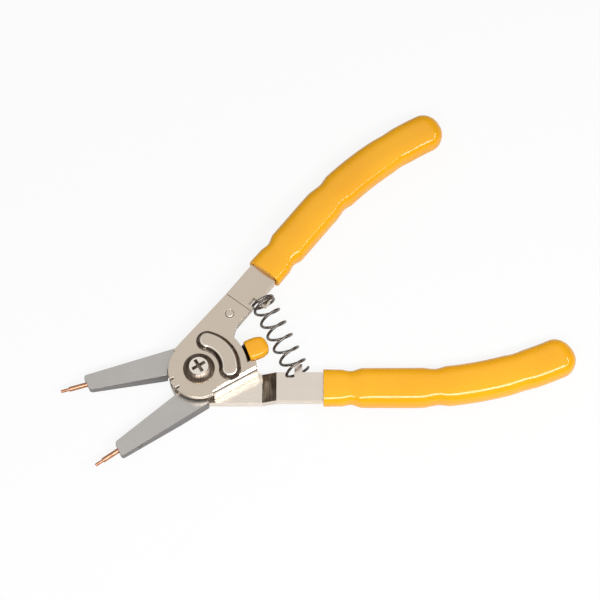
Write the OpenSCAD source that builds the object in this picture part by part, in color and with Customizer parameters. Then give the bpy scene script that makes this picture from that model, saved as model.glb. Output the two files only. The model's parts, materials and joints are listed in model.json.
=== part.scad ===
// Convertible retaining-ring (circlip) pliers: two laminated handles, two cast jaws with
// replaceable tips and a selector lever, all turning on one pivot, with a return spring.
// Millimetres. The origin is on the pivot axis, on the plane that the tool lies on. +X runs
// along the lower handle, +Z runs up the pivot towards the screw head.

/* [Plates] */
// Thickness of each steel lamination and of the cover plate
plate_t = 1.7; // [1.4:0.1:2]
// Running clearance between neighbouring layers on the pivot
layer_gap = 0.1; // [0.06:0.01:0.2]
// Thickness of each jaw hub
hub_t = 1.35; // [1.1:0.05:1.8]
// Thickness of the selector plate
selector_t = 1.6; // [1.3:0.1:1.9]
// Hairline gap where two pieces of one body meet or are pressed together
press_gap = 0.02; // [0.01:0.01:0.05]

/* [Pivot] */
// Radius of the pivot barrel
barrel_r = 3.5; // [3:0.1:4]
// Radius of the head of the pivot barrel
barrel_head_r = 6.5; // [5.5:0.1:8]
// Thickness of the head of the pivot barrel
barrel_head_t = 1.2; // [1:0.1:2]
// Radial running clearance of a bore on the pivot barrel
bore_fit = 0.05; // [0.02:0.01:0.09]
// Radius of the pivot screw's shank
screw_r = 2.1; // [1.5:0.1:2.4]
// Radius of the pivot screw's head where it meets the cover
screw_head_r = 6.1; // [5:0.1:7]
// Height of the pivot screw's head
screw_head_h = 3; // [2:0.1:4]
// Radius of the flat on top of the screw head
screw_flat_r = 3.5; // [3.4:0.1:4.6]
// Span of the cross recess in the screw head
recess_span = 5.6; // [4:0.1:6]
// Width of each arm of the cross recess
recess_w = 1.3; // [0.8:0.1:1.6]
// Depth of the cross recess
recess_depth = 1.6; // [1:0.1:1.8]
// Turn of the cross recess from the X axis
recess_turn = 32; // [0:1:89]

/* [Handles] */
// Angle between the two handles
handle_open = 52.3; // [48:0.1:56]
// Distance of each handle's centre line from the pivot axis
handle_offset = 5.7; // [5.2:0.1:6.2]
// Width of the bare neck of each handle
neck_w = 11.7; // [10.6:0.1:12.4]
// Distance from the pivot to the mouth of each grip
grip_start = 47.3; // [46:0.1:54]
// Width of the plate inside the grip
tang_w = 10; // [8:0.1:11]
// Distance along the handle where it starts to bow inwards
bow_start = 80; // [70:1:90]
// Radius of the bow
bow_r = 140; // [120:1:200]
// Length of the plate inside the grip
tang_len = 91; // [70:1:94]
// Radius of the lower handle's eye round the pivot
eye_r = 11.8; // [11:0.1:12]
// Distance from the pivot to the foot of the lower handle's joggle
joggle_start = 23.9; // [23.5:0.1:26]
// Length of the joggle's slope along the handle
joggle_run = 5.6; // [3:0.1:6]
// Rise of the joggle towards the grip
joggle_rise = 2.6; // [2:0.1:2.8]
// Radius of the rivets that hold the laminations together
rivet_r = 1.6; // [1.2:0.1:2]
// Distance from the pivot to the first of these rivets
rivet_start = 58; // [55:1:60]
// Spacing of these rivets
rivet_pitch = 14; // [10:1:18]

/* [Grips] */
// Length of each grip along the handle
grip_len = 98.5; // [97:0.5:104]
// Full width of each grip
grip_w = 15.4; // [14.6:0.1:17]
// Full thickness of each grip
grip_t = 10.4; // [8.6:0.1:11.2]
// Width at the grip's mouth
mouth_w = 14.6; // [14:0.1:15.4]
// Thickness at the grip's mouth
mouth_t = 8.2; // [6.6:0.1:9.4]
// Width at the waist behind the mouth
waist_w = 13; // [12.6:0.1:14.4]
// Distance from the mouth to the waist
waist_at = 9; // [7:0.5:11]
// Width at the finger pinch half-way along
pinch_w = 13.8; // [13:0.1:15]
// Distance from the mouth to the finger pinch
pinch_at = 43; // [38:0.5:48]
// Radius of the grip's rounded end
grip_end_r = 7; // [5:0.1:7.4]
// Clearance between the grip's pocket and the plate in it
grip_fit = 0.08; // [0.05:0.01:0.2]

/* [Cover] */
// Radius of the cover's disc round the pivot
disc_r = 11.8; // [11.6:0.1:12.2]
// Distance from the pivot to the seam between cover and handle
seam_at = 31; // [30:0.1:32]
// How far the cover's strap is wider than the neck beside the disc
strap_flare = 1.1; // [0:0.1:1.4]
// Direction from the pivot, square to the folded flange
flange_dir = -59.5; // [-62:0.5:-57]
// Length of the flange from where it touches the disc
flange_len = 19; // [17:0.1:19.5]
// Outer radius of the flange's fold
flange_fold_r = 2; // [1.9:0.1:2.4]
// Height of the right-hand end of the cover, along Y
cover_end_y = 4.2; // [3.6:0.1:4.4]
// How far the cover's right-hand end leans in at the top
cover_end_lean = 0.9; // [0.6:0.1:1.5]
// Distance along the handle where the lever's bay meets the strap
bay_at = 23; // [22:0.1:24]
// Direction of the jaw stop tab
tab_dir = 213.2; // [212.6:0.1:213.8]
// Width of the jaw stop tab
tab_w = 1.8; // [1.4:0.1:2]
// Width of the relief notch on each side of the tab
tab_notch_w = 0.8; // [0.5:0.1:1]
// Width of the tab's head, between its notches
tab_head_w = 3.2; // [2.6:0.1:3.4]
// Radius of the kidney boss's centre line
kidney_r = 11.8; // [11.6:0.1:12]
// Half of the kidney boss's width
kidney_half_w = 4.2; // [4:0.1:4.4]
// Height of the kidney boss above the cover
kidney_h = 1.7; // [1.4:0.1:1.8]
// Angle from the X axis to the first end of the kidney boss
kidney_from = -2; // [-3:1:2]
// Angle from the X axis to the other end of the kidney boss
kidney_to = 76; // [72:1:78]
// Slope of the kidney boss's wall, as a run in plan
kidney_draft = 1.6; // [1:0.1:1.8]
// Distance along the handle from the pivot to the cover's rivet
cover_rivet_at = 25.2; // [24:0.1:26]
// Distance of the cover's rivet from the pivot, across the handle
cover_rivet_across = 5.2; // [4.6:0.1:6]
// Radius of the cover's rivet
cover_rivet_r = 1.7; // [1.4:0.1:2]
// How far the cover's rivet stands proud
cover_rivet_proud = 0.35; // [0.2:0.05:0.6]
// Distance along the handle where the plate under the cover ends
tongue_at = 19; // [18.5:0.1:20.5]

/* [Jaws] */
// Radius of each jaw hub
hub_r = 9.6; // [9:0.1:9.7]
// Radius of the jaws' shoulder round the pivot stack
shoulder_r = 12.3; // [12.2:0.05:12.5]
// Distance from the pivot to the jaws' ends, along the tool's axis
jaw_reach = 40.4; // [36:0.1:44]
// Distance from the tool's axis to the inner edge of a jaw's end
jaw_end_in = 11.7; // [11:0.1:12.2]
// Width of a jaw at its end
jaw_end_w = 6.4; // [5.6:0.1:7]
// Distance from the tool's axis to the inner edge of a jaw's root
jaw_root_in = 4.1; // [4.1:0.1:4.6]
// Distance from the pivot, along the tool's axis, to the outer corner of a jaw's root
jaw_root_out_x = 2; // [2:0.1:4]
// Distance from the tool's axis to the outer corner of a jaw's root
jaw_root_out_y = 12.9; // [12.7:0.1:13.2]
// Thickness of a jaw at its root
jaw_root_t = 5.6; // [4.5:0.1:6]
// Thickness of a jaw at its end
jaw_end_t = 3.3; // [3:0.1:3.8]
// Chamfer on the corners of a jaw's end
jaw_corner = 0.7; // [0.4:0.1:1.2]

/* [Tips] */
// Radius of a tip's body
tip_r = 0.95; // [0.8:0.05:1.1]
// Radius of a tip's nose
nose_r = 0.6; // [0.4:0.05:0.7]
// Length of a tip outside the jaw
tip_len = 10.2; // [9:0.1:12]
// Length of a tip's nose
nose_len = 3.2; // [2:0.1:4]
// Length of a tip inside the jaw
tip_depth = 12; // [10:0.5:16]
// Angle of a tip to the tool's axis
tip_turn = 9.4; // [8:0.1:11]
// Radius of the grub screw that holds a tip
grub_r = 1.1; // [0.9:0.05:1.2]
// Distance from the jaw's end to the grub screw
grub_back = 7.7; // [6:0.1:8.6]
// Depth that the grub screw is sunk below the jaw's side
grub_sink = 0.35; // [0.2:0.05:0.6]

/* [Selector] */
// Direction of the selector lever
lever_dir = 22; // [21:0.5:23]
// Width of the selector lever
lever_w = 7; // [6:0.1:7.2]
// Radius of the selector plate round the pivot
selector_r = 9.5; // [8.5:0.1:9.6]
// Radius of the cover's edge behind the lever
lever_recess_r = 18.5; // [18.2:0.1:18.8]
// Gap between the cover's edge and the lever's bend
lever_bend_gap = 0.3; // [0.2:0.05:0.5]
// Play of the lever in the cover's bay, on each side
bay_play = 0.72; // [0.6:0.02:0.9]
// Length of the lever's bend
lever_bend = 0.8; // [0.7:0.1:1.2]
// Rise of the lever's bend
lever_rise = 1.7; // [1.5:0.1:2]
// Length of the lever's cap
cap_len = 8.7; // [7.5:0.1:9]
// Width of the lever's cap
cap_w = 8.6; // [8:0.1:8.7]
// Thickness of the lever's cap
cap_t = 4.9; // [4.2:0.1:5.2]
// Thickness of the cap's closed end
cap_wall = 1.4; // [1:0.1:2]
// Swing of the selector lever
selector_swing = 7; // [4:0.5:7]
// Radius of the selector pin
selector_pin_r = 1.4; // [1:0.1:1.6]
// Radius of the selector pin's head
selector_head_r = 1.9; // [1.7:0.1:2]
// Height of the selector pin's head
selector_head_h = 0.9; // [0.6:0.05:1]
// Swing of the lower jaw towards the upper one
lower_jaw_swing = 7; // [4:0.5:7]
// Radius of the notched ear on the lower jaw's hub
ear_r = 12.8; // [12.6:0.1:13.4]
// Width of each side of the notched ear, in degrees
ear_side = 15; // [12:1:18]
// Side clearance of a pin in its notch or slot
pin_play = 0.3; // [0.15:0.05:0.35]
// Radius of the drive pin between lower handle and upper jaw
drive_pin_r = 1.2; // [1:0.1:1.4]
// Distance of the drive pin from the pivot axis
drive_pin_at = 7.1; // [6.9:0.1:7.2]
// Direction of the drive pin
drive_pin_dir = -35; // [-45:1:-25]
// Free travel of the drive pin in the upper jaw's slot
drive_slot = 30; // [20:1:40]

/* [Spring] */
// Distance from the pivot to the spring's seats, along each handle
seat_at = 37.8; // [37:0.1:40]
// Height of the spring's end above the handle's edge
seat_rise = 0.3; // [0.2:0.1:1]
// Outer radius of the spring
spring_r = 5; // [4.6:0.1:5.1]
// Diameter of the spring wire
wire_d = 1.1; // [0.9:0.05:1.2]
// Open turns of the spring
open_turns = 5.25; // [4.5:0.25:6]
// Closed turns at the spring's upper end
closed_turns = 1.25; // [1:0.25:1.5]
// Closed turns at the spring's lower end
lower_closed_turns = 0.5; // [0.25:0.25:1]
// Width of the lug inside each end of the spring
lug_w = 3; // [2.4:0.1:3.2]
// Height of that lug above the handle's edge
lug_h = 3.4; // [2.5:0.1:3.6]
// Width of the notch beside the lug, for the end coil
lug_notch_w = 3.5; // [3.3:0.1:3.8]
// Depth of the notch beside the lug
lug_notch_depth = 2.2; // [2:0.1:2.6]

/* [Hidden] */
$fn = 96;

// Levels of the layers on the pivot, from the bottom up
z_lower = barrel_head_t + layer_gap;
z_upper_hub = z_lower + 2 * plate_t + layer_gap;
z_lower_hub = z_upper_hub + hub_t + layer_gap;
z_jaw_top = z_lower_hub + hub_t;
z_selector = z_jaw_top + layer_gap;
z_cover = z_selector + selector_t + layer_gap;
z_top = z_cover + plate_t;
z_under_cover = z_upper_hub + layer_gap;
z_lower_neck = z_lower + joggle_rise;

// Outline of a handle, drawn for the lower one
neck_low = -handle_offset - neck_w / 2;
neck_high = -handle_offset + neck_w / 2;
shoulder_gap = 0.3;
neck_end = grip_start - shoulder_gap;
joggle_end = joggle_start + joggle_run;
bow_sweep = (grip_start + tang_len - bow_start) / bow_r * 180 / PI;

// Tool axis and jaw outline
jaw_dir = 180 + handle_open / 2;
jaw_end_mid = [jaw_reach, jaw_end_in + jaw_end_w / 2];
jaw_end_out = jaw_end_in + jaw_end_w;
side_slope = atan2(jaw_end_out - jaw_root_out_y, jaw_reach - jaw_root_out_x);
z_tip = z_jaw_top - jaw_end_t / 2;
root_flat = 14;

// Selector lever and its swing
lever_bend_at = lever_recess_r + lever_bend_gap;
cap_at = lever_bend_at + lever_bend;
bay_half_angle = asin((lever_w / 2 + bay_play) / lever_recess_r);
bay_from = lever_dir - bay_half_angle;
bay_to = lever_dir + selector_swing + bay_half_angle;
pin_half_angle = asin((selector_pin_r + pin_play) / kidney_r);
notch_from = lever_dir - pin_half_angle;
notch_to = lever_dir + selector_swing + lower_jaw_swing + pin_half_angle;

// Grip stations: width and thickness by distance from the mouth
grip_widths = [
    [0, mouth_w],
    [waist_at, waist_w],
    [2 * waist_at, grip_w],
    [pinch_at - waist_at / 2, grip_w],
    [pinch_at, pinch_w],
    [pinch_at + waist_at / 2, grip_w],
    [grip_len, grip_w]
];
grip_thicknesses = [[0, mouth_t], [2 * waist_at, grip_t], [grip_len, grip_t]];
grip_step = 3.3;
end_proud = 0.05;
flange_lap = 0.25;
fold_drop = 0.01;
hub_drop = 0.02;
dome_angle = 50;
ring_points = 24;
soft_corner = 0.62;

// Spring seats and the axis between them
seat_low = [seat_at, neck_high + seat_rise, z_lower_neck + plate_t];
seat_high = [
    seat_at * cos(handle_open) + seat_low.y * sin(handle_open),
    seat_at * sin(handle_open) - seat_low.y * cos(handle_open),
    z_cover
];
spring_axis = (seat_low - seat_high) / norm(seat_low - seat_high);
spring_side = cross(spring_axis, [0, 0, 1]) / norm(cross(spring_axis, [0, 0, 1]));
spring_up = cross(spring_axis, spring_side);
spring_len = norm(seat_low - seat_high) - wire_d;
coil_r = spring_r - wire_d / 2;
closed_pitch = 1.08 * wire_d;
both_closed_turns = closed_turns + lower_closed_turns;
open_pitch = (spring_len - both_closed_turns * closed_pitch) / open_turns;
all_turns = open_turns + both_closed_turns;
coil_steps = 16;
wire_sides = 8;

// Colours
nickel = "#cdbea9";
cast_grey = "#b5b1ad";
copper = "#b87345";
dark_steel = "#4a443f";
vinyl = "#f7ad1c";

// Points and rings

function along(s) = s <= bow_start ? 0 : (s - bow_start) / bow_r * 180 / PI;

function centre(s) = s <= bow_start
    ? [s, -handle_offset]
    : [bow_start + bow_r * sin(along(s)), -handle_offset + bow_r * (1 - cos(along(s)))];

function smooth(x) = x * x * (3 - 2 * x);

function blend(d, table, i = 0) = d <= table[i + 1][0] || i == len(table) - 2
    ? let (share = (d - table[i][0]) / (table[i + 1][0] - table[i][0]))
      table[i][1] + (table[i + 1][1] - table[i][1]) * smooth(max(0, min(1, share)))
    : blend(d, table, i + 1);

function rounded(v) = sign(v) * pow(abs(v), soft_corner);

function boxed(v) = max(-1, min(1, sqrt(2) * v));

function soft_ring(w, t) = [
    for (k = [0 : ring_points - 1])
        let (a = 360 * k / ring_points) [w / 2 * rounded(cos(a)), t / 2 * rounded(sin(a))]
];

function box_ring(w, t) = [
    for (k = [0 : ring_points - 1])
        let (a = 360 * k / ring_points) [w / 2 * boxed(cos(a)), t / 2 * boxed(sin(a))]
];

// A section's ring, set across the handle's centre line at station s
function on_handle(ring, s, z) = [
    for (p = ring)
        [centre(s).x - p.x * sin(along(s)), centre(s).y + p.x * cos(along(s)), z + p.y]
];

// A section's ring, set across the lever at distance x from the pivot
function on_lever(ring, x, z) = [for (p = ring) [x, p.x, z + p.y]];

function middle(ring) = (ring[0] + ring[len(ring) / 2]) / 2;

function helix_height(turn) = turn < closed_turns
    ? turn * closed_pitch
    : turn > all_turns - lower_closed_turns
        ? spring_len - (all_turns - turn) * closed_pitch
        : closed_turns * closed_pitch + (turn - closed_turns) * open_pitch;

function spring_ring(turn) =
    let (
        outward = -cos(360 * turn) * spring_side - sin(360 * turn) * spring_up,
        middle = seat_high + spring_axis * (wire_d / 2 + helix_height(turn)) + coil_r * outward
    )
    [
        for (k = [0 : wire_sides - 1])
            let (a = 360 * k / wire_sides)
            middle + wire_d / 2 * (cos(a) * outward - sin(a) * spring_axis)
    ];

// Closed solid through a list of rings with equally many points
module loft(rings) {
    n = len(rings[0]);
    last = len(rings) - 1;
    first_hub = n * len(rings);
    last_hub = first_hub + 1;
    sides = [
        for (i = [0 : last - 1], k = [0 : n - 1])
            let (a = i * n + k, b = i * n + (k + 1) % n)
            each [[a, b, a + n], [b, b + n, a + n]]
    ];
    ends = [
        for (k = [0 : n - 1])
            let (next = (k + 1) % n)
            each [[next, k, first_hub], [last * n + k, last * n + next, last_hub]]
    ];
    polyhedron(
        points = concat([for (ring = rings) each ring], [middle(rings[0]), middle(rings[last])]),
        faces = concat(sides, ends)
    );
}

// Frames

module on_upper_handle() {
    rotate([0, 0, handle_open])
        mirror([0, 1, 0])
            children();
}

module on_lower_jaw() {
    rotate([0, 0, jaw_dir])
        children();
}

module on_upper_jaw() {
    rotate([0, 0, jaw_dir])
        mirror([0, 1, 0])
            children();
}

module raised(z, h) {
    translate([0, 0, z])
        linear_extrude(h)
            children();
}

// Ring sector from angle a to angle b
module ring_sector(r_in, r_out, a, b, h) {
    rotate([0, 0, a])
        rotate_extrude(angle = b - a)
            translate([r_in, 0])
                square([r_out - r_in, h]);
}

// Bar on an arc round the pivot, as wide at the top as top_half_w says. Its round ends stand a
// little proud of its sides, so that they meet in clean edges.
module arc_bar(r, half_w, top_half_w, a, b, h) {
    rotate([0, 0, a])
        rotate_extrude(angle = b - a)
            translate([r, 0])
                polygon([[-half_w, 0], [half_w, 0], [top_half_w, h], [-top_half_w, h]]);
    for (end = [a, b])
        rotate([0, 0, end])
            translate([r, 0, 0])
                cylinder(r1 = half_w + end_proud, r2 = top_half_w + end_proud, h = h);
}

// Handle laminations

// Plate inside the grip: straight, then bowed
module tang_plan() {
    translate([neck_end, -handle_offset - tang_w / 2])
        square([bow_start - neck_end, tang_w]);
    translate([bow_start, bow_r - handle_offset])
        intersection() {
            difference() {
                circle(bow_r + tang_w / 2, $fn = 720);
                circle(bow_r - tang_w / 2, $fn = 720);
            }
            polygon([[0, 0], [0, -2 * bow_r], 2 * bow_r * [sin(bow_sweep), -cos(bow_sweep)]]);
        }
}

// Neck from a given station to the grip, with the spring's lug on its inner edge
module neck_plan(from) {
    difference() {
        union() {
            translate([from, neck_low])
                square([neck_end - from, neck_w]);
            translate([seat_at - lug_w / 2, neck_high - lug_h])
                square([lug_w, 2 * lug_h]);
        }
        translate([seat_at - lug_w / 2 - lug_notch_w, neck_high - lug_notch_depth])
            square([lug_notch_w, 2 * lug_notch_depth]);
    }
}

module rivet_places() {
    for (i = [0, 1])
        translate([rivet_start + i * rivet_pitch, -handle_offset])
            children();
}

module lower_handle_plan() {
    difference() {
        union() {
            circle(eye_r);
            polygon([
                [0, neck_low],
                [joggle_start, neck_low],
                [joggle_end, neck_low],
                [joggle_end, neck_high],
                [joggle_start, neck_high],
                eye_r * [cos(45), sin(45)]
            ]);
            neck_plan(joggle_end);
            tang_plan();
        }
        circle(barrel_r + bore_fit);
        rotate(drive_pin_dir)
            translate([drive_pin_at, 0])
                circle(drive_pin_r + press_gap);
        rivet_places()
            circle(rivet_r + press_gap);
    }
}

// One lamination of the lower handle, bent up at the joggle
module joggled_sheet(z) {
    far = 2 * (grip_start + grip_len);
    intersection() {
        raised(0, far)
            lower_handle_plan();
        translate([0, far / 2, 0])
            rotate([90, 0, 0])
                linear_extrude(far)
                    polygon([
                        [-eye_r - 1, z],
                        [joggle_start, z],
                        [joggle_end, z + joggle_rise],
                        [far, z + joggle_rise],
                        [far, z + joggle_rise + plate_t],
                        [joggle_end, z + joggle_rise + plate_t],
                        [joggle_start, z + plate_t],
                        [-eye_r - 1, z + plate_t]
                    ]);
    }
}

module upper_handle_sheet(from, z) {
    on_upper_handle()
        raised(z, plate_t)
            difference() {
                union() {
                    neck_plan(from);
                    tang_plan();
                }
                rivet_places()
                    circle(rivet_r + press_gap);
                translate([cover_rivet_at, -cover_rivet_across])
                    circle(cover_rivet_r + press_gap);
            }
}

module lower_handle_front() {
    color(nickel)
        joggled_sheet(z_lower + plate_t);
}

module lower_handle_back() {
    color(nickel)
        joggled_sheet(z_lower);
}

module upper_handle_front() {
    color(nickel)
        upper_handle_sheet(seam_at, z_cover);
}

module upper_handle_back() {
    color(nickel)
        upper_handle_sheet(tongue_at, z_cover - plate_t);
}

module lower_handle_rivets() {
    color(nickel)
        rivet_places()
            translate([0, 0, z_lower_neck])
                cylinder(r = rivet_r, h = 2 * plate_t);
}

module upper_handle_rivets() {
    color(nickel)
        on_upper_handle()
            rivet_places()
                translate([0, 0, z_cover - plate_t])
                    cylinder(r = rivet_r, h = 2 * plate_t);
}

// Grips

// Moulded sleeve with a pocket for the plate, closed and rounded at the far end
module grip(z) {
    straight = grip_len - grip_end_r;
    stations = ceil(straight / grip_step);
    pockets = ceil(tang_len / (1.5 * grip_step));
    end_rings = [
        for (q = [10 : 16 : 80])
            let (d = straight + grip_end_r * cos(q))
            on_handle(
                soft_ring(blend(d, grip_widths) * sin(q), blend(d, grip_thicknesses) * sin(q)),
                grip_start + d, z)
    ];
    side_rings = [
        for (i = [stations : -1 : 0])
            let (d = straight * i / stations)
            on_handle(soft_ring(blend(d, grip_widths), blend(d, grip_thicknesses)), grip_start + d, z)
    ];
    pocket_rings = [
        for (i = [0 : pockets])
            let (d = (tang_len + grip_fit) * i / pockets)
            on_handle(box_ring(tang_w + 2 * grip_fit, 2 * plate_t + 2 * grip_fit), grip_start + d, z)
    ];
    loft(concat(end_rings, side_rings, pocket_rings));
}

module lower_grip() {
    color(vinyl)
        grip(z_lower_neck + plate_t);
}

module upper_grip() {
    color(vinyl)
        on_upper_handle()
            grip(z_cover);
}

// Cover plate

module cover_plan() {
    tangent = disc_r * [cos(flange_dir), sin(flange_dir)];
    flange_end = tangent + flange_len * [-sin(flange_dir), cos(flange_dir)];
    difference() {
        union() {
            circle(disc_r);
            polygon([
                [0, 0],
                tangent,
                flange_end,
                [flange_end.x - cover_end_lean, cover_end_y],
                seam_at * [cos(handle_open), sin(handle_open)]
            ]);
            rotate(handle_open)
                mirror([0, 1])
                    polygon([
                        [0, 0],
                        [seam_at - press_gap, neck_high],
                        [seam_at - press_gap, neck_low],
                        [0, neck_low - strap_flare]
                    ]);
        }
        circle(barrel_r + bore_fit);
        rotate(handle_open)
            translate([cover_rivet_at, cover_rivet_across])
                circle(cover_rivet_r + press_gap);
        lever_bay();
        rotate(flange_dir)
            translate([disc_r - flange_fold_r + flange_lap, 0])
                square([2 * flange_fold_r, 2 * flange_len]);
        tab_notches();
    }
}

// Bay in the cover's edge that the lever swings in, up to the strap
module lever_bay() {
    far = 3 * lever_recess_r;
    middle = (bay_from + bay_to) / 2;
    strap = [cos(handle_open), sin(handle_open)];
    strap_edge = neck_high * [sin(handle_open), -cos(handle_open)];
    difference() {
        polygon([
            [0, 0],
            far * [cos(bay_from), sin(bay_from)],
            far * [cos(middle), sin(middle)],
            far * strap + strap_edge,
            bay_at * strap + strap_edge,
            0.9 * lever_recess_r * [cos(bay_to), sin(bay_to)]
        ]);
        circle(lever_recess_r);
    }
}

module tab_notches() {
    for (side = [-1, 1])
        rotate(tab_dir)
            translate([disc_r - plate_t, side * (tab_head_w + tab_notch_w) / 2 - tab_notch_w / 2])
                square([2 * plate_t, tab_notch_w]);
}

// Edge folded down beside the lower handle
module cover_flange() {
    fold = [disc_r - flange_fold_r, z_top - fold_drop - flange_fold_r];
    rotate([0, 0, flange_dir])
        translate([0, flange_len, 0])
            rotate([90, 0, 0])
                linear_extrude(flange_len) {
                    intersection() {
                        translate(fold)
                            difference() {
                                circle(flange_fold_r);
                                circle(flange_fold_r - plate_t);
                            }
                        translate(fold)
                            square(flange_fold_r);
                    }
                    translate([disc_r - plate_t, z_under_cover])
                        square([plate_t, fold.y - z_under_cover]);
                }
}

// Small tab folded down into the throat, where both jaws stop
module cover_tab() {
    tab_back = disc_r - plate_t - 0.3;
    rotate([0, 0, tab_dir]) {
        translate([tab_back, -tab_head_w / 2, z_selector + layer_gap])
            cube([plate_t, tab_head_w, z_cover - z_selector]);
        translate([tab_back + end_proud, -tab_w / 2, z_under_cover])
            cube([plate_t - 2 * end_proud, tab_w, z_cover - z_under_cover]);
    }
}

module cover_plate() {
    color(nickel)
        difference() {
            union() {
                raised(z_cover, plate_t)
                    cover_plan();
                cover_flange();
                cover_tab();
                translate([0, 0, z_top])
                    arc_bar(kidney_r, kidney_half_w, kidney_half_w - kidney_draft,
                        kidney_from, kidney_to, kidney_h);
            }
            translate([0, 0, z_cover - 1])
                ring_sector(kidney_r - kidney_half_w + plate_t, kidney_r + kidney_half_w - plate_t,
                    kidney_from, kidney_to, kidney_h + 1);
        }
}

module cover_rivet() {
    color(nickel)
        on_upper_handle()
            translate([cover_rivet_at, -cover_rivet_across, z_cover - plate_t])
                cylinder(r = cover_rivet_r, h = 2 * plate_t + cover_rivet_proud);
}

// Pivot

module pivot_barrel() {
    color(nickel)
        difference() {
            union() {
                cylinder(r = barrel_head_r, h = barrel_head_t);
                cylinder(r = barrel_r, h = z_top - layer_gap);
            }
            translate([0, 0, z_lower])
                cylinder(r = screw_r + press_gap, h = z_top);
        }
}

module pivot_screw() {
    color(nickel)
        difference() {
            union() {
                translate([0, 0, z_lower + layer_gap])
                    cylinder(r = screw_r, h = z_top - z_lower);
                translate([0, 0, z_top])
                    rotate_extrude()
                        polygon(concat(
                            [[0, 0]],
                            [for (q = [0 : 10 : dome_angle])
                                [screw_flat_r + (screw_head_r - screw_flat_r)
                                    * (cos(q) - cos(dome_angle)) / (1 - cos(dome_angle)),
                                    screw_head_h * sin(q) / sin(dome_angle)]],
                            [[0, screw_head_h]]
                        ));
            }
            for (turn = [0, 90])
                translate([0, 0, z_top + screw_head_h - recess_depth / 2])
                    rotate([0, 0, recess_turn + turn])
                        cube([recess_span, recess_w, 1.01 * recess_depth], center = true);
        }
}

// Jaws

module jaw_plan() {
    polygon([
        [hub_r * 0.9, jaw_root_in - 0.6],
        [jaw_reach - jaw_corner, jaw_end_in],
        [jaw_reach, jaw_end_in + jaw_corner],
        [jaw_reach, jaw_end_out - jaw_corner],
        [jaw_reach - jaw_corner, jaw_end_out],
        [jaw_root_out_x, jaw_root_out_y],
        [jaw_root_out_x - 1, hub_r * 0.8]
    ]);
}

// Cast body of a jaw, thinner towards its end, drilled for its tip and grub screw
module jaw_body() {
    difference() {
        intersection() {
            raised(0, z_jaw_top)
                jaw_plan();
            translate([0, 2 * jaw_reach, 0])
                rotate([90, 0, 0])
                    linear_extrude(4 * jaw_reach)
                        polygon([
                            [-jaw_reach, z_jaw_top],
                            [-jaw_reach, z_jaw_top - jaw_root_t],
                            [root_flat, z_jaw_top - jaw_root_t],
                            [jaw_reach, z_jaw_top - jaw_end_t],
                            [2 * jaw_reach, z_jaw_top - jaw_end_t],
                            [2 * jaw_reach, z_jaw_top]
                        ]);
        }
        cylinder(r = shoulder_r, h = 3 * z_top, center = true);
    }
}

// Web and hub of a jaw
module jaw_hub_plan() {
    circle(hub_r);
    intersection() {
        jaw_plan();
        circle(shoulder_r + 1);
    }
}

// Wedge from angle a to angle b, cut off at radius r
module wedge_plan(r, a, b) {
    middle = (a + b) / 2;
    intersection() {
        circle(r);
        polygon([
            [0, 0],
            2 * r * [cos(a), sin(a)],
            2 * r * [cos(middle), sin(middle)],
            2 * r * [cos(b), sin(b)]
        ]);
    }
}

module tip_hole() {
    on_tip()
        translate([0, 0, -tip_depth])
            cylinder(r = tip_r + press_gap, h = tip_depth + tip_len);
}

module grub_hole() {
    on_grub()
        translate([0, 0, -grub_r])
            cylinder(r = grub_r + press_gap, h = 2 * grub_r + jaw_end_w);
}

// Frame at the jaw's end, with Z out along the tip
module on_tip() {
    translate([jaw_end_mid.x, jaw_end_mid.y, z_tip])
        rotate([0, 90, tip_turn])
            children();
}

// Frame on the tip's surface, with Z out through the jaw's outer side
module on_grub() {
    translate([
        jaw_reach - grub_back,
        jaw_end_mid.y - grub_back * tan(tip_turn),
        z_tip
    ])
        rotate([-90, 0, side_slope])
            translate([0, 0, tip_r + press_gap])
                children();
}

module tip() {
    color(copper)
        on_tip() {
            translate([0, 0, -tip_depth])
                cylinder(r = tip_r, h = tip_depth + tip_len - nose_len);
            cylinder(r = nose_r, h = tip_len);
        }
}

module tip_screw() {
    side = jaw_root_out_y + (jaw_reach - grub_back - jaw_root_out_x) * tan(side_slope);
    middle = jaw_end_mid.y - grub_back * tan(tip_turn);
    length = (side - middle) * cos(side_slope) - tip_r - press_gap - grub_sink;
    color(dark_steel)
        on_grub()
            difference() {
                cylinder(r = grub_r, h = length);
                translate([0, 0, length / 2])
                    cylinder(r = grub_r * 0.55, h = length, $fn = 6);
            }
}

module lower_jaw() {
    color(cast_grey)
        difference() {
            union() {
                on_lower_jaw()
                    jaw_body();
                raised(z_lower_hub, hub_t - hub_drop)
                    difference() {
                        union() {
                            rotate(jaw_dir)
                                jaw_hub_plan();
                            wedge_plan(ear_r, notch_from - ear_side, notch_to + ear_side);
                        }
                        circle(barrel_r + bore_fit);
                        difference() {
                            wedge_plan(2 * ear_r, notch_from, notch_to);
                            circle(kidney_r - selector_pin_r - pin_play);
                        }
                    }
            }
            on_lower_jaw() {
                tip_hole();
                grub_hole();
            }
        }
}

module upper_jaw() {
    slot_end = drive_pin_dir + 1;
    color(cast_grey)
        difference() {
            on_upper_jaw() {
                jaw_body();
                raised(z_upper_hub, hub_t)
                    difference() {
                        jaw_hub_plan();
                        circle(barrel_r + bore_fit);
                    }
            }
            translate([0, 0, z_upper_hub - layer_gap / 2])
                arc_bar(drive_pin_at, drive_pin_r + pin_play / 2, drive_pin_r + pin_play / 2,
                    slot_end - drive_slot, slot_end, hub_t + layer_gap);
            on_upper_jaw() {
                tip_hole();
                grub_hole();
            }
        }
}

module jaw_drive_pin() {
    color(dark_steel)
        rotate([0, 0, drive_pin_dir])
            translate([drive_pin_at, 0, z_lower])
                cylinder(r = drive_pin_r, h = z_upper_hub + hub_t - z_lower);
}

module lower_tip() {
    on_lower_jaw()
        tip();
}

module upper_tip() {
    on_upper_jaw()
        tip();
}

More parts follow.
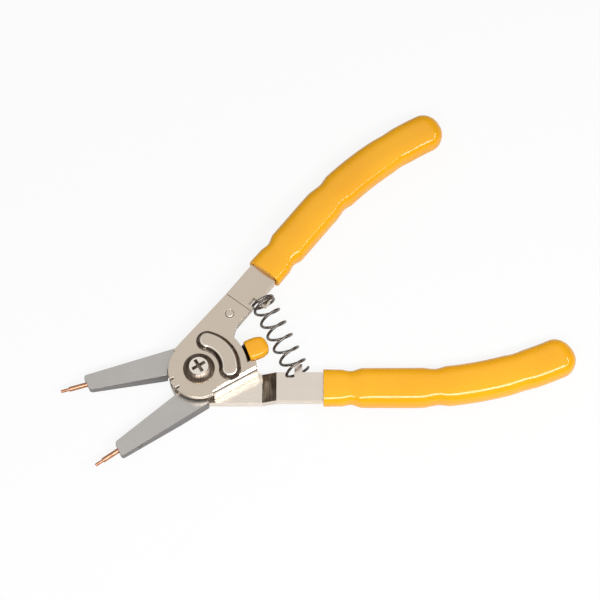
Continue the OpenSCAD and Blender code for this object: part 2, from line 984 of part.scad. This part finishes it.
module lower_tip_screw() {
    on_lower_jaw()
        tip_screw();
}

module upper_tip_screw() {
    on_upper_jaw()
        tip_screw();
}

// Selector

module on_lever() {
    rotate([0, 0, lever_dir])
        children();
}

module selector_plate() {
    lever_end = cap_at + cap_len - cap_wall;
    color(dark_steel)
        on_lever()
            intersection() {
                raised(0, 2 * z_top)
                    difference() {
                        union() {
                            circle(selector_r);
                            translate([0, -lever_w / 2])
                                square([lever_end, lever_w]);
                        }
                        circle(barrel_r + bore_fit);
                        translate([kidney_r, 0])
                            circle(selector_pin_r + press_gap);
                    }
                translate([0, 2 * selector_r, 0])
                    rotate([90, 0, 0])
                        linear_extrude(4 * selector_r)
                            polygon([
                                [-2 * selector_r, z_selector],
                                [lever_bend_at, z_selector],
                                [cap_at, z_selector + lever_rise],
                                [2 * lever_end, z_selector + lever_rise],
                                [2 * lever_end, z_selector + lever_rise + selector_t],
                                [cap_at, z_selector + lever_rise + selector_t],
                                [lever_bend_at, z_selector + selector_t],
                                [-2 * selector_r, z_selector + selector_t]
                            ]);
            }
}

module selector_pin() {
    color(dark_steel)
        on_lever()
            translate([kidney_r, 0, 0]) {
                translate([0, 0, z_lower_hub + layer_gap])
                    cylinder(r = selector_pin_r, h = z_cover - z_lower_hub);
                translate([0, 0, z_selector + selector_t])
                    cylinder(r = selector_head_r, h = selector_head_h);
            }
}

// Dipped cap on the lever's end
module selector_cap() {
    z = z_selector + lever_rise + selector_t / 2;
    end_r = cap_len * 0.55;
    end_rings = [
        for (q = [10 : 16 : 90])
            on_lever(
                soft_ring(cap_w * sin(q), cap_t * sin(q)),
                cap_at + cap_len - end_r + end_r * cos(q), z)
    ];
    mouth_rings = [
        on_lever(soft_ring(cap_w, cap_t), cap_at, z),
        on_lever(box_ring(lever_w + 2 * press_gap, selector_t + 2 * press_gap), cap_at, z),
        on_lever(
            box_ring(lever_w + 2 * press_gap, selector_t + 2 * press_gap),
            cap_at + cap_len - cap_wall + press_gap, z)
    ];
    color(vinyl)
        on_lever()
            loft(concat(end_rings, mouth_rings));
}

// Return spring between the handles

module handle_spring() {
    color(dark_steel)
        loft([for (i = [0 : all_turns * coil_steps]) spring_ring(i / coil_steps)]);
}

cover_plate();
upper_handle_front();
upper_handle_back();
cover_rivet();
upper_handle_rivets();
upper_grip();
pivot_barrel();
pivot_screw();
handle_spring();
lower_handle_front();
lower_handle_back();
lower_handle_rivets();
lower_grip();
jaw_drive_pin();
upper_jaw();
upper_tip();
upper_tip_screw();
lower_jaw();
lower_tip();
lower_tip_screw();
selector_plate();
selector_cap();
selector_pin();
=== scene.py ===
import json
import math

import bmesh
import bpy
from mathutils import Matrix, Vector

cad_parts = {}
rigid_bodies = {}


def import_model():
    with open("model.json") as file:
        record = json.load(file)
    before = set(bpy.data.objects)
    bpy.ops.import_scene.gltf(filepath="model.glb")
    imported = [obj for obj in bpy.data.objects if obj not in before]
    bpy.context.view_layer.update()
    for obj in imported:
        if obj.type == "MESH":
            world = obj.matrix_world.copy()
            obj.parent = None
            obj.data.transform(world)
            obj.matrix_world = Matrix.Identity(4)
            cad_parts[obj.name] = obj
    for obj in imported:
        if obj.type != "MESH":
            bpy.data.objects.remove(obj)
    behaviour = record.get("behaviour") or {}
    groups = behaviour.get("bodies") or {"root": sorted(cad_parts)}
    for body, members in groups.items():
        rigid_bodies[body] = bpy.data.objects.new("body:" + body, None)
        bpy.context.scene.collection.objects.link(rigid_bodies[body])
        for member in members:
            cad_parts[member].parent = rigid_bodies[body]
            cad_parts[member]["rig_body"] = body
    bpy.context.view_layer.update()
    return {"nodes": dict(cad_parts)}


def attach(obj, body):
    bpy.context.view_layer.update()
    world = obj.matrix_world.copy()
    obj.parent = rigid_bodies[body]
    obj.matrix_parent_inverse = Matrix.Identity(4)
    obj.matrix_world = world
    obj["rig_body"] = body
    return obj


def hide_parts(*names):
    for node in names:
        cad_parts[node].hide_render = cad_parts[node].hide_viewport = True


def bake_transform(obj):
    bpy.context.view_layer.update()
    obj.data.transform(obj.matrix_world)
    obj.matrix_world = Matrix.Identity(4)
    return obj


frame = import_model()
scene = bpy.context.scene
scene.view_settings.view_transform = "Standard"

MM = 0.001

# Pivot barrel.
# A turned steel bush with a flat head. Everything else is stacked on it, and its plated head is
# what the tool rests on. It is plated with the handles, in a warm satin nickel.


class Tone:
    """A socket in a finish's node tree. Python's operators add Math nodes to it."""

    def __init__(self, socket):
        self.socket = socket
        self.tree = socket.id_data

    def node(self, kind, settings, inputs, out=0):
        made = self.tree.nodes.new(kind)
        for name, value in settings.items():
            setattr(made, name, value)
        for key, value in inputs.items():
            if isinstance(value, Tone):
                self.tree.links.new(value.socket, made.inputs[key])
            else:
                made.inputs[key].default_value = value
        return Tone(made.outputs[out])

    def maths(self, operation, a, b):
        return self.node("ShaderNodeMath", {"operation": operation}, {0: a, 1: b})

    def __add__(self, other):
        return self.maths("ADD", self, other)

    def __mul__(self, other):
        return self.maths("MULTIPLY", self, other)

    __radd__ = __add__

    def between(self, low, high):
        return self.node(
            "ShaderNodeMapRange",
            {"interpolation_type": "SMOOTHSTEP"},
            {"Value": self, "From Min": low, "From Max": high},
        )

    def noise(self, scale, detail):
        return self.node(
            "ShaderNodeTexNoise", {}, {"Vector": self, "Scale": scale, "Detail": detail}
        )

    def stretched(self, x, y, z):
        return self.node("ShaderNodeMapping", {}, {"Vector": self, "Scale": (x, y, z)})

    def tint(self, dark, light):
        return self.node(
            "ShaderNodeMix", {"data_type": "RGBA"}, {0: self, 6: (*dark, 1), 7: (*light, 1)}, out=2
        )

    def bump(self, strength, depth):
        return self.node(
            "ShaderNodeBump", {}, {"Strength": strength, "Distance": depth, "Height": self}
        )


def new_finish(name, **constants):
    material = bpy.data.materials.new(name)
    material.use_nodes = True
    shader = material.node_tree.nodes["Principled BSDF"]
    for socket, value in constants.items():
        shader.inputs[socket.replace("_", " ")].default_value = value
    place = Tone(material.node_tree.nodes.new("ShaderNodeTexCoord").outputs["Object"])
    return material, shader, place


def feed(shader, **tones):
    for socket, tone in tones.items():
        shader.id_data.links.new(tone.socket, shader.inputs[socket.replace("_", " ")])


def nickel_finish(name, dark, light, gloss):
    """Satin plate: cloudy tone, fine tumbling marks and a few long rubs."""
    material, shader, place = new_finish(name, Metallic=1.0)
    cloud = place.noise(70, 4)
    grain = place.noise(2600, 2)
    rubs = place.stretched(40, 900, 900).noise(1, 3)
    feed(
        shader,
        Base_Color=(cloud * 0.55 + grain * 0.25 + rubs * 0.2).tint(dark, light),
        Roughness=gloss + cloud.between(0.35, 0.7) * 0.07 + rubs.between(0.55, 0.75) * 0.06,
        Normal=(grain * 0.6 + rubs * 0.4).bump(0.12, 0.00004),
    )
    return material


nickel = nickel_finish("warm nickel plate", (0.58, 0.49, 0.395), (0.71, 0.615, 0.51), 0.2)
# Brighter plate for the rubbed, rounded edges. It is also a painted bright reflection on the
# cover's folded edge, and it is used on the screw's flat top.
nickel_edge_and_sheen = nickel_finish("warm nickel edge and painted sheen", (0.78, 0.71, 0.62), (0.92, 0.86, 0.78), 0.14)
# A dark nickel, painted shade and dark reflection, for the joggle's slopes, the boss's walls and
# the screw's side and recess. Its streaks and stains vary at random.
painted_shade_nickel, shader, place = new_finish("nickel with painted shade", Metallic=1.0)
streaks = place.stretched(2200, 260, 260).noise(1, 3)
stain = place.noise(190, 3)
marks = (streaks * 0.6 + stain * 0.4).between(0.3, 0.72)
feed(
    shader,
    Base_Color=marks.tint((0.09, 0.068, 0.053), (0.3, 0.245, 0.2)),
    Roughness=0.3 + stain.between(0.35, 0.7) * 0.12,
    Normal=streaks.bump(0.2, 0.00005),
)


def broken_edges(
    node, finishes, passes, face_finish=None, crease=28, moved=None, weld=2e-6, clamp=True
):
    """A piece with the CAD node's own shape, its corners rounded as stamping and plating do.

    moved shifts the CAD's points first, and points closer than weld become one. face_finish gives
    the finish of a face that is painted with shade or made brighter.
    finish of a face that the press or the hand has left different."""
    source = frame["nodes"][node]
    solid = bmesh.new()
    solid.from_mesh(source.data)
    if moved:
        for point in solid.verts:
            point.co = moved(point.co)
    bmesh.ops.remove_doubles(solid, verts=solid.verts, dist=weld)
    bmesh.ops.dissolve_limit(
        solid, angle_limit=math.radians(0.5), verts=solid.verts, edges=solid.edges
    )
    for chosen, width, steps in passes:
        edges = [
            e
            for e in solid.edges
            if e.is_manifold and e.calc_face_angle(0) > math.radians(crease) and chosen(e)
        ]
        bmesh.ops.bevel(
            solid,
            geom=edges,
            offset=width,
            offset_type="OFFSET",
            segments=steps,
            profile=0.5,
            affect="EDGES",
            clamp_overlap=clamp,
            material=1,
        )
    for face in solid.faces:
        face.smooth = True
        if face_finish and face.material_index == 0:
            face.material_index = face_finish(face)
    mesh = bpy.data.meshes.new(node + "_shape")
    solid.to_mesh(mesh)
    solid.free()
    mesh.set_sharp_from_angle(angle=math.radians(crease + 10))
    for finish in finishes:
        mesh.materials.append(finish)
    piece = bpy.data.objects.new(node + "_piece", mesh)
    scene.collection.objects.link(piece)
    piece.modifiers.new("even shading", "WEIGHTED_NORMAL").keep_sharp = True
    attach(piece, source["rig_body"])
    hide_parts(node)
    return piece


def every_edge(edge):
    return True


broken_edges("pivot_barrel", [nickel, nickel_edge_and_sheen], [(every_edge, 0.15 * MM, 2)])

# Handle laminations.
# Each handle is two stamped steel strips laid together, so a fine seam runs along its edge. The
# lower pair is painted lighter, as painted light, and joggled beside the pivot, its slopes painted
# dark as shade. Flush rivets hold each pair together under the grip.

OPENING = math.radians(52.3)
UPPER_ALONG = Vector((math.cos(OPENING), math.sin(OPENING), 0))
SEAM, SEAM_GAP = 31 * MM, 0.16 * MM
NEAR = 0.05 * MM
SLOPE_LEAST, SLOPE_MOST, SLOPE_RISE = 0.25, 0.6, 0.7


def opened_seam(point):
    """The front strip stops a hair short of the cover's strap."""
    if abs(point.dot(UPPER_ALONG) - SEAM) < NEAR:
        return point + SEAM_GAP * UPPER_ALONG
    return point


def joggle_shade(face):
    """The joggle's slopes take the dark nickel, as painted shade."""
    sloped = SLOPE_LEAST < abs(face.normal.x) < SLOPE_MOST
    return 2 if sloped and abs(face.normal.z) > SLOPE_RISE else 0


# The lower strips are painted lighter than the upper ones, as painted light.
nickel_painted_lighter = nickel_finish("nickel plate painted lighter", (0.7, 0.62, 0.53), (0.86, 0.78, 0.69), 0.2)
for strip, plate, change in (
    ("lower_handle_back", nickel_painted_lighter, None),
    ("lower_handle_front", nickel_painted_lighter, None),
    ("upper_handle_back", nickel, None),
    ("upper_handle_front", nickel, opened_seam),
):
    broken_edges(
        strip,
        [plate, nickel_edge_and_sheen, painted_shade_nickel],
        [(every_edge, 0.2 * MM, 2)],
        joggle_shade,
        crease=14,
        moved=change,
    )
for rivets in ("lower_handle_rivets", "upper_handle_rivets"):
    broken_edges(rivets, [nickel, nickel_edge_and_sheen], [(every_edge, 0.1 * MM, 1)])

# Jaws.
# Two cast arms with thin hubs, one above the other on the barrel. Their flat faces are ground to a
# cooler, duller grey than the handles, and their sides are painted darker, as painted shade.

cast, shader, place = new_finish("cast jaw steel", Metallic=1.0)
skin = place.noise(900, 5)
patches = place.noise(110, 3)
feed(
    shader,
    Base_Color=(patches * 0.5 + skin * 0.5).tint((0.465, 0.445, 0.425), (0.57, 0.545, 0.52)),
    Roughness=0.34 + skin.between(0.4, 0.65) * 0.06,
    Normal=skin.bump(0.08, 0.00003),
)
cast_edge, shader, place = new_finish("rubbed jaw edge", Metallic=1.0)
skin = place.noise(900, 5)
feed(
    shader,
    Base_Color=skin.tint((0.46, 0.445, 0.43), (0.6, 0.58, 0.56)),
    Roughness=0.3 + skin * 0.1,
    Normal=skin.bump(0.1, 0.00004),
)
# The jaws' side faces are painted darker, as painted shade.
jaw_side_shade, shader, place = new_finish("jaw side painted shade", Metallic=1.0)
skin = place.noise(900, 5)
feed(
    shader,
    Base_Color=skin.tint((0.22, 0.21, 0.205), (0.3, 0.29, 0.28)),
    Roughness=0.42 + skin * 0.1,
    Normal=skin.bump(0.12, 0.00004),
)


def jaw_finish(face):
    """The flat faces are ground, and the sides take a darker finish, as painted shade."""
    return 2 if abs(face.normal.z) < 0.5 else 0


for jaw in ("lower_jaw", "upper_jaw"):
    broken_edges(
        jaw,
        [cast, cast_edge, jaw_side_shade],
        [(every_edge, 0.14 * MM, 2)],
        jaw_finish,
    )

# Tips and their grub screws.
# The copper-plated tips are turned to a thinner nose and pushed into the jaws' ends. A dark grub
# screw in the side of each jaw holds its tip.

copper, shader, place = new_finish("copper-plated tip", Metallic=1.0)
turning = place.noise(1800, 2)
tarnish = place.noise(420, 3).between(0.4, 0.72)
feed(
    shader,
    Base_Color=tarnish.tint((0.6, 0.29, 0.18), (0.46, 0.215, 0.13)),
    Roughness=0.32 + tarnish * 0.08,
    Normal=turning.bump(0.02, 0.00001),
)
oiled, shader, place = new_finish("dark oiled steel", Metallic=1.0)
film = place.noise(240, 4)
grit = place.noise(2200, 2)
feed(
    shader,
    Base_Color=(film * 0.7 + grit * 0.3).tint((0.075, 0.065, 0.058), (0.17, 0.15, 0.135)),
    Roughness=0.3 + film.between(0.35, 0.7) * 0.16,
    Normal=grit.bump(0.14, 0.00004),
)
for tip in ("lower_tip", "upper_tip"):
    broken_edges(tip, [copper, copper], [(every_edge, 0.12 * MM, 2)])
for grub in ("lower_tip_screw", "upper_tip_screw"):
    broken_edges(grub, [oiled, oiled], [(every_edge, 0.08 * MM, 1)])
broken_edges("jaw_drive_pin", [oiled, oiled], [(every_edge, 0.1 * MM, 1)])

# Selector.
# A flat lever between the hubs and the cover, with a headed pin that runs under the kidney boss.
# Its bent end sticks out of the bay in the cover and carries a dipped vinyl cap.

broken_edges("selector_plate", [oiled, oiled], [(every_edge, 0.15 * MM, 2)])
broken_edges("selector_pin", [oiled, oiled], [(every_edge, 0.1 * MM, 1)])

vinyl, shader, place = new_finish("dipped yellow vinyl", Specular_IOR_Level=0.48)
drift = place.noise(28, 2)
sags = place.noise(150, 2)
specks = place.noise(2400, 1)
feed(
    shader,
    Base_Color=drift.between(0.3, 0.72).tint((0.9, 0.4, 0.005), (0.955, 0.455, 0.008)),
    Roughness=0.07 + sags.between(0.4, 0.7) * 0.04 + specks * 0.03,
    Normal=(sags * 0.99 + specks * 0.01).bump(0.04, 0.0003),
)


def lofted(name, rings, finish):
    """A smooth skin through rings with equally many points, closed at both ends."""
    count = len(rings[0])
    last = len(rings) - 1
    points = [p for ring in rings for p in ring]

    def corner(i, k):
        return i * count + k % count

    faces = [
        (corner(i, k), corner(i, k + 1), corner(i + 1, k + 1), corner(i + 1, k))
        for i in range(last)
        for k in range(count)
    ]
    faces.append(tuple(reversed(range(count))))
    faces.append(tuple(last * count + k for k in range(count)))
    mesh = bpy.data.meshes.new(name + "_shape")
    mesh.from_pydata([tuple(p) for p in points], [], faces)
    solid = bmesh.new()
    solid.from_mesh(mesh)
    bmesh.ops.recalc_face_normals(solid, faces=solid.faces)
    for face in solid.faces:
        face.smooth = True
    solid.to_mesh(mesh)
    solid.free()
    mesh.set_sharp_from_angle(angle=math.radians(50))
    mesh.materials.append(finish)
    piece = bpy.data.objects.new(name, mesh)
    scene.collection.objects.link(piece)
    return piece


def soft_section(width, depth, squareness, count):
    """Points round a section that is flatter than an ellipse."""
    points = []
    for k in range(count):
        a = 2 * math.pi * k / count
        c, s = math.cos(a), math.sin(a)
        points.append(
            (
                width / 2 * math.copysign(abs(c) ** squareness, c),
                depth / 2 * math.copysign(abs(s) ** squareness, s),
            )
        )
    return points


CAP_START, CAP_LENGTH, CAP_WIDTH, CAP_DEPTH, CAP_Z = 19.6, 8.7, 8.6, 4.9, 10.2
CAP_END, CAP_SQUARENESS, CAP_POINTS = 0.55, 0.6, 40
LEVER_WIDTH, LEVER_DEPTH, SLOT_SQUARENESS = 7.1, 1.8, 0.2
LEVER_DIRECTION = math.radians(22)
cap_profile = [(0.25, 0.06), (0.6, 0.16), (0.82, 0.34), (0.93, 0.58), (0.99, 0.84)]
cap_rings = []
for share, back in cap_profile:
    cap_rings.append((CAP_START + CAP_LENGTH * (1 - back * CAP_END), share))
cap_rings += [(CAP_START + 3.0, 1.0), (CAP_START + 1.6, 0.985), (CAP_START + 0.4, 0.95)]
cap_rings += [(CAP_START + 0.1, 0.93), (CAP_START, 0.9)]
cap_sections = [
    (x, soft_section(CAP_WIDTH * share, CAP_DEPTH * share, CAP_SQUARENESS, CAP_POINTS))
    for x, share in cap_rings
]
lever_slot = soft_section(LEVER_WIDTH, LEVER_DEPTH, SLOT_SQUARENESS, CAP_POINTS)
cap_sections += [(CAP_START + inside, lever_slot) for inside in (0.02, 0.8)]
turn = Matrix.Rotation(LEVER_DIRECTION, 3, "Z")
cap = lofted(
    "selector_cap_piece",
    [[turn @ Vector((x, w, CAP_Z + h)) * MM for w, h in section] for x, section in cap_sections],
    vinyl,
)
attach(cap, "selector")
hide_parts("selector_cap")

# Cover plate.
# One stamping over the whole stack: a disc, a strap to the upper handle, an edge folded down
# beside the lower handle, a stop tab, and a kidney-shaped boss drawn up over the selector pin.

COVER_TOP = 11.1 * MM
RIM_HEIGHT, WALL_HEIGHT = 1.2 * MM, 1.6 * MM
AROUND_SCREW = 9 * MM
LEVEL, HAIR = 0.01 * MM, 0.03 * MM


def kidney_rim(edge):
    return all(v.co.z > COVER_TOP + RIM_HEIGHT for v in edge.verts)


def disc_edge(edge):
    """Cut edges of the stamping's top face, without the hole that the screw fills."""
    on_top = all(
        abs(v.co.z - COVER_TOP) < LEVEL and v.co.xy.length > AROUND_SCREW for v in edge.verts
    )
    return on_top and any(abs(face.normal.z) < 0.1 for face in edge.link_faces)


FLANGE_DIRECTION = math.radians(-59.5)
FLANGE_OUT = Vector((math.cos(FLANGE_DIRECTION), math.sin(FLANGE_DIRECTION), 0))
FLANGE_ALONG = Vector((-FLANGE_OUT.y, FLANGE_OUT.x, 0))
FOLD_START = 9.9 * MM


def cover_finish(face):
    """The folded edge takes a painted bright reflection, and the drawn walls of the boss painted
    shade.
    """
    middle = face.calc_center_median()
    if COVER_TOP + NEAR < middle.z < COVER_TOP + WALL_HEIGHT and face.normal.z < 0.9:
        return 2
    folded = middle.dot(FLANGE_OUT) > FOLD_START and middle.dot(FLANGE_ALONG) > 0
    return 1 if folded and face.normal.dot(FLANGE_OUT) > 0.1 else 0


def flush_fold(point):
    """The fold runs on from the disc without the hair's step that the CAD leaves there."""
    level = COVER_TOP if 0 < COVER_TOP - point.z < HAIR else point.z
    return Vector((point.x, point.y, level))


broken_edges(
    "cover_plate",
    [nickel, nickel_edge_and_sheen, painted_shade_nickel],
    [(kidney_rim, 0.4 * MM, 3), (disc_edge, 0.15 * MM, 2)],
    cover_finish,
    moved=flush_fold,
    weld=HAIR,
    clamp=False,
)
RIVET_ALONG, RIVET_ACROSS, RIVET_SHRINK = 25.2, 5.2, 0.08
UPPER_ACROSS = Vector((-UPPER_ALONG.y, UPPER_ALONG.x, 0))
rivet_middle = RIVET_ALONG * UPPER_ALONG + RIVET_ACROSS * UPPER_ACROSS


def upset(point):
    """The rivet's head is upset a little smaller than its hole, which leaves a dark ring."""
    across = (point - rivet_middle * MM).to_2d().to_3d()
    return point - RIVET_SHRINK * across


broken_edges(
    "cover_rivet",
    [nickel, nickel_edge_and_sheen],
    [(every_edge, 0.25 * MM, 3)],
    moved=upset,
)

# Pivot screw.
# A machine screw with a straight-walled cross recess clamps the stack on the barrel. Its flat top
# takes the brighter edge finish, and its side and recess are painted dark, as painted shade.

RECESS_REACH = 3.2 * MM
SCREW_TOP = COVER_TOP + 2 * MM


def off_recess(edge):
    return any(v.co.xy.length > RECESS_REACH for v in edge.verts)


def screw_finish(face):
    """The head's flat top takes the brighter edge finish, and its side and recess the dark finish,
    as painted shade.
    """
    middle = face.calc_center_median()
    if middle.z < COVER_TOP:
        return 0
    return 1 if face.normal.z > 0.93 and middle.z > SCREW_TOP else 2


broken_edges(
    "pivot_screw",
    [nickel, nickel_edge_and_sheen, painted_shade_nickel],
    [(off_recess, 0.2 * MM, 2)],
    screw_finish,
)

# Return spring.
# Drawn wire, coiled with closed turns at both ends, on a lug of each handle. The real spring
# closes up as the handles are squeezed; this piece is one fixed coil, built at the opening shown.

wire_finish, shader, place = new_finish("drawn spring wire", Metallic=1.0)
drawing = place.noise(700, 3)
feed(
    shader,
    Base_Color=drawing.tint((0.13, 0.115, 0.105), (0.26, 0.235, 0.215)),
    Roughness=0.22 + drawing.between(0.4, 0.7) * 0.14,
    Normal=place.noise(2600, 2).bump(0.1, 0.00003),
)
LOWER_Z, UPPER_Z = 5.6, 9.4
SEAT_ALONG, SEAT_OUT = 37.8, 0.45
seat_low = Vector((SEAT_ALONG, SEAT_OUT, LOWER_Z))
seat_high = Vector(
    (
        SEAT_ALONG * math.cos(OPENING) + SEAT_OUT * math.sin(OPENING),
        SEAT_ALONG * math.sin(OPENING) - SEAT_OUT * math.cos(OPENING),
        UPPER_Z,
    )
)
WIRE, COIL, CLOSED_PITCH = 1.1, 4.45, 1.08
UPPER_CLOSED, OPEN_TURNS, LOWER_CLOSED = 1.25, 5.25, 0.5
RINGS_A_TURN, WIRE_POINTS = 30, 12
axis = (seat_low - seat_high).normalized()
side = axis.cross(Vector((0, 0, 1))).normalized()
up = axis.cross(side)
length = (seat_low - seat_high).length - WIRE
closed_rise = CLOSED_PITCH * WIRE
open_rise = (length - (UPPER_CLOSED + LOWER_CLOSED) * closed_rise) / OPEN_TURNS
turns = UPPER_CLOSED + OPEN_TURNS + LOWER_CLOSED
coil_rings = []
for i in range(int(turns * RINGS_A_TURN) + 1):
    t = i / RINGS_A_TURN
    if t < UPPER_CLOSED:
        height = t * closed_rise
    elif t > turns - LOWER_CLOSED:
        height = length - (turns - t) * closed_rise
    else:
        height = UPPER_CLOSED * closed_rise + (t - UPPER_CLOSED) * open_rise
    out = -math.cos(2 * math.pi * t) * side - math.sin(2 * math.pi * t) * up
    middle = seat_high + axis * (WIRE / 2 + height) + COIL * out
    coil_rings.append(
        [
            (middle + WIRE / 2 * (math.cos(a) * out - math.sin(a) * axis)) * MM
            for a in (2 * math.pi * k / WIRE_POINTS for k in range(WIRE_POINTS))
        ]
    )
spring = lofted("handle_spring_piece", coil_rings, wire_finish)
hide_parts("handle_spring")
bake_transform(spring)

# Grips.
# Both handles are dipped in thick glossy vinyl. The coat is flat on its faces, necks in behind
# the mouth and twice more along its length, and closes in a round end.

BOW_START, BOW_RADIUS, OFFSET = 80.0, 140.0, 5.7
MOUTH, GRIP_LENGTH, END_ROUND, LIP = 47.3, 98.5, 7.0, 0.35
STRIPS_WIDTH, STRIPS_DEPTH = 11.9, 3.6
COAT_SQUARENESS, COAT_POINTS, COAT_RINGS = 0.74, 56, 140
widths = [
    (0, 14.6),
    (6.5, 14.4),
    (10.5, 13.0),
    (15, 15.3),
    (37, 15.4),
    (43.5, 13.8),
    (48, 15.4),
    (70, 15.4),
    (75.5, 14.8),
    (81, 15.4),
    (GRIP_LENGTH, 15.4),
]
depths = [(0, 8.2), (8, 8.3), (17, 10.4), (GRIP_LENGTH, 10.4)]


def eased(d, table):
    for (d0, v0), (d1, v1) in zip(table, table[1:]):
        if d <= d1:
            x = max(0, (d - d0) / (d1 - d0))
            return v0 + (v1 - v0) * x * x * (3 - 2 * x)
    return table[-1][1]


def grip_ring(d, section, z, stand):
    s = MOUTH + d
    bend = max(0, s - BOW_START) / BOW_RADIUS
    x = min(s, BOW_START) + BOW_RADIUS * math.sin(bend)
    y = -OFFSET + BOW_RADIUS * (1 - math.cos(bend))
    return [
        stand @ Vector((x - w * math.sin(bend), y + w * math.cos(bend), z + h)) * MM
        for w, h in section
    ]


def coat_section(d, share):
    width, depth = eased(d, widths) * share, eased(d, depths) * share
    return soft_section(width, depth, COAT_SQUARENESS, COAT_POINTS)


mouth_slot = soft_section(STRIPS_WIDTH, STRIPS_DEPTH, SLOT_SQUARENESS, COAT_POINTS)

for grip, body, z, stand in (
    ("lower_grip", "lower_handle", LOWER_Z, Matrix.Identity(3)),
    (
        "upper_grip",
        "upper_handle",
        UPPER_Z,
        Matrix.Rotation(OPENING, 3, "Z") @ Matrix.Diagonal((1, -1, 1)),
    ),
):
    straight = GRIP_LENGTH - END_ROUND
    rings = []
    for q in range(5, 90, 8):
        d = straight + END_ROUND * math.cos(math.radians(q))
        rings.append(grip_ring(d, coat_section(d, math.sin(math.radians(q))), z, stand))
    for i in range(COAT_RINGS, -1, -1):
        d = LIP + (straight - LIP) * i / COAT_RINGS
        rings.append(grip_ring(d, coat_section(d, 1.0), z, stand))
    for d, share in ((0.1, 0.99), (0.0, 0.97)):
        rings.append(grip_ring(d, coat_section(d, share), z, stand))
    for d in (0.05, 1.5):
        rings.append(grip_ring(d, mouth_slot, z, stand))
    coat = lofted(grip + "_piece", rings, vinyl)
    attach(coat, body)
    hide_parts(grip)

# Table, light and camera.
# The tool lies on a plain white table under a soft light from above and behind, with a long
# softbox in front and a strip at the right. The bright metal picks up darker walls low down. A
# long lens looks down on it.

table_mesh = bpy.data.meshes.new("table_shape")
table_mesh.from_pydata([(-6, -6, 0), (6, -6, 0), (6, 6, 0), (-6, 6, 0)], [], [(0, 1, 2, 3)])
table = bpy.data.objects.new("table", table_mesh)
table.location.z = -0.0002
scene.collection.objects.link(table)
white = bpy.data.materials.new("white table")
white.use_nodes = True
tree = white.node_tree
tree.nodes["Principled BSDF"].inputs["Base Color"].default_value = (0.86, 0.86, 0.86, 1)
tree.nodes["Principled BSDF"].inputs["Roughness"].default_value = 0.7
paths = tree.nodes.new("ShaderNodeLightPath").outputs
seen = Tone(paths["Is Camera Ray"]) + Tone(paths["Is Glossy Ray"]) * 0.15
glow = tree.nodes.new("ShaderNodeEmission")
join = tree.nodes.new("ShaderNodeMixShader")
tree.links.new((seen * 0.88).socket, join.inputs[0])
tree.links.new(tree.nodes["Principled BSDF"].outputs[0], join.inputs[1])
tree.links.new(glow.outputs[0], join.inputs[2])
tree.links.new(join.outputs[0], tree.nodes["Material Output"].inputs["Surface"])
table_mesh.materials.append(white)

world = bpy.data.worlds.new("studio")
scene.world = world
world.use_nodes = True
tree = world.node_tree
back = tree.nodes["Background"]
direction = Tone(tree.nodes.new("ShaderNodeTexCoord").outputs["Generated"])
height = direction.node("ShaderNodeSeparateXYZ", {}, {0: direction}, out=2)
away = direction.node("ShaderNodeSeparateXYZ", {}, {0: direction}, out=1)
overhead = height.between(0.5, 0.84)
paths = tree.nodes.new("ShaderNodeLightPath").outputs
sky = (height * 0.94 + away * 0.34).between(0.6, 0.9).tint((0.18, 0.18, 0.18), (0.5, 0.5, 0.5))
for look, colours in (
    ("Is Glossy Ray", overhead.tint((0.23, 0.195, 0.165), (0.9, 0.9, 0.9))),
    ("Is Camera Ray", (1, 1, 1, 1)),
):
    sky = sky.node(
        "ShaderNodeMix",
        {"data_type": "RGBA"},
        {0: Tone(paths[look]), 6: sky, 7: colours},
        out=2,
    )
tree.links.new(sky.socket, back.inputs["Color"])

LIT = Vector((0.04, 0.02, 0))
for name, spot, width, depth, power in (
    ("front softbox", (0.16, -0.36, 0.57), 0.9, 0.15, 4.8),
    ("right strip", (0.78, 0.06, 0.62), 0.7, 0.05, 1.1),
):
    lamp = bpy.data.lights.new(name, "AREA")
    lamp.shape = "RECTANGLE"
    lamp.size = width
    lamp.size_y = depth
    lamp.energy = power
    softbox = bpy.data.objects.new(name, lamp)
    softbox.location = spot
    facing = LIT - Vector(spot)
    softbox.rotation_euler = facing.to_track_quat("-Z", "Y").to_euler()
    scene.collection.objects.link(softbox)

lens = bpy.data.cameras.new("camera")
lens.lens = 108
lens.sensor_width = 36
lens.clip_start = 0.01
camera = bpy.data.objects.new("camera", lens)
camera.location = (0.0384, -0.2710, 0.6398)
camera.rotation_euler = (math.radians(25.5), 0, 0)
scene.collection.objects.link(camera)
scene.camera = camera
